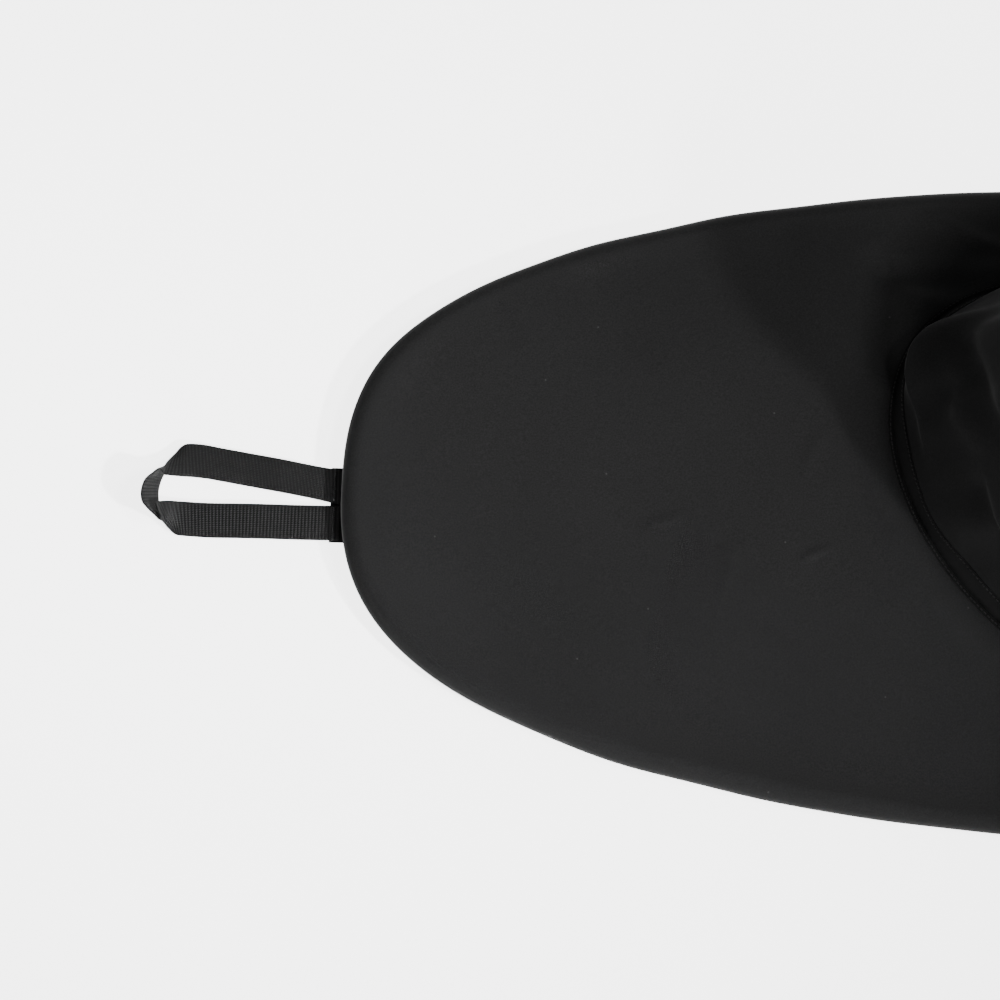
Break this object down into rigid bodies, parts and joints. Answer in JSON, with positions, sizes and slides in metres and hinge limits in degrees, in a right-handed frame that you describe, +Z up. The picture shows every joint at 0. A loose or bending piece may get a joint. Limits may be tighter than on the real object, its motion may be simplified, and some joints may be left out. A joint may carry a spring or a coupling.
{
  "type": "kayak spray skirt",
  "caption": "Neoprene spray skirt: an oval deck with a bungee rim, a webbing grab loop at the bow and a waist tunnel with hook-and-loop tabs.",
  "frame": {"origin": "centre of the whole object's footprint, grab loop included, on the surface that it lies on", "axes": "+X from bow to stern (the grab loop is at -X), +Y to starboard, +Z up out of the tunnel"},
  "size_m": [1.011, 0.4677, 0.2567],
  "materials": {
    "neoprene": "matt black jersey-faced neoprene",
    "lining": "matt black nylon lining",
    "tape": "satin black seam tape",
    "webbing": "ribbed black polyester webbing",
    "thread": "black bonded thread",
    "grip_rubber": "matt rubber",
    "elastic": "braided black elastic",
    "hook_and_loop": "black hook-and-loop fastener",
    "stainless": "brushed stainless steel"
  },
  "bodies": {
    "skirt": {"deck_panel": "neoprene", "hem_facing": "lining", "rand_grip_strip": "grip_rubber", "rim_shock_cord": "elastic", "shock_cord_crimp": "stainless", "bow_reinforcement": "lining", "loop_anchor_tab": "webbing", "bartack_port": "thread", "bartack_starboard": "thread", "tunnel_front_panel": "neoprene", "tunnel_back_panel": "neoprene", "side_seam_tape_port": "tape", "side_seam_tape_starboard": "tape", "tunnel_base_tape": "tape", "tunnel_inner_tape": "tape", "waist_binding": "tape", "waist_elastic": "elastic", "loop_pad_port": "hook_and_loop", "loop_pad_starboard": "hook_and_loop", "tab_anchor_port": "tape", "tab_anchor_starboard": "tape", "care_label": "tape"},
    "grab_loop": {"grab_loop_webbing": "webbing"},
    "port_waist_tab": {"waist_tab_port": "webbing", "hook_pad_port": "hook_and_loop"},
    "starboard_waist_tab": {"waist_tab_starboard": "webbing", "hook_pad_starboard": "hook_and_loop"}
  },
  "joints": [
    {"name": "grab_loop_fold", "type": "hinge", "parent": "skirt", "child": "grab_loop", "pos_m": [-0.3749, -0.0122, 0.0062], "axis": [0, 1, 0], "range_deg": [0, 115]},
    {"name": "port_tab_peel", "type": "hinge", "parent": "skirt", "child": "port_waist_tab", "pos_m": [0.3242, -0.07868, 0.237], "axis": [0, 0, 1], "range_deg": [0, 120]},
    {"name": "starboard_tab_peel", "type": "hinge", "parent": "skirt", "child": "starboard_waist_tab", "pos_m": [0.31818, 0.13783, 0.237], "axis": [0, 0, -1], "range_deg": [0, 120]}
  ]
}
